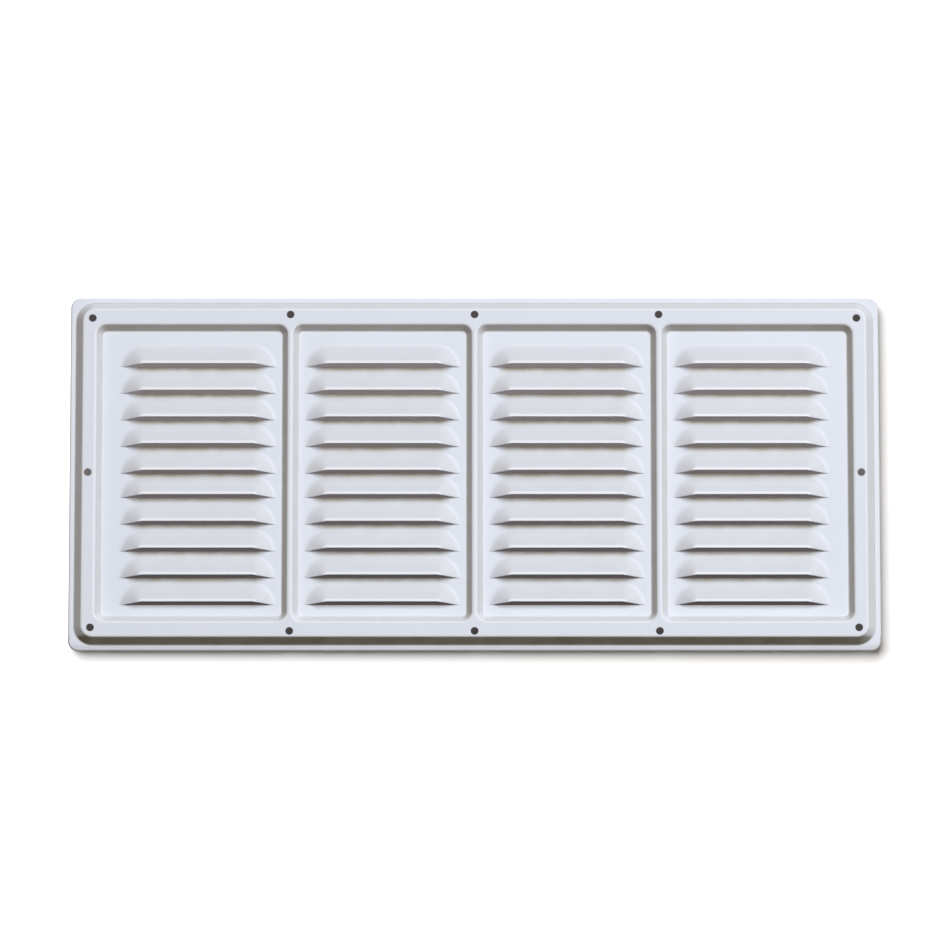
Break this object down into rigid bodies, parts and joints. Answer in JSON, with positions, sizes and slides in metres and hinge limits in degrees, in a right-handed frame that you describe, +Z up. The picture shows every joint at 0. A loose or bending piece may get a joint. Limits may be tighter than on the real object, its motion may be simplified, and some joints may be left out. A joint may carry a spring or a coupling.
{
  "type": "fridge vent grille",
  "caption": "Flat rectangular louvred vent cover pressed from white painted sheet metal, with a raised screw border, narrow ribs and hooded air slots that face down.",
  "frame": {"origin": "middle of the grille on the plane of the wall that its turned edge lies on", "axes": "+X to the right and +Z up as seen from outside, +Y into the wall, front towards -Y"},
  "size_m": [0.52, 0.0095, 0.23],
  "materials": {
    "white_paint": "smooth satin white paint on pressed aluminium sheet"
  },
  "bodies": {
    "root": {"vent_grille": "white_paint"}
  },
  "joints": []
}
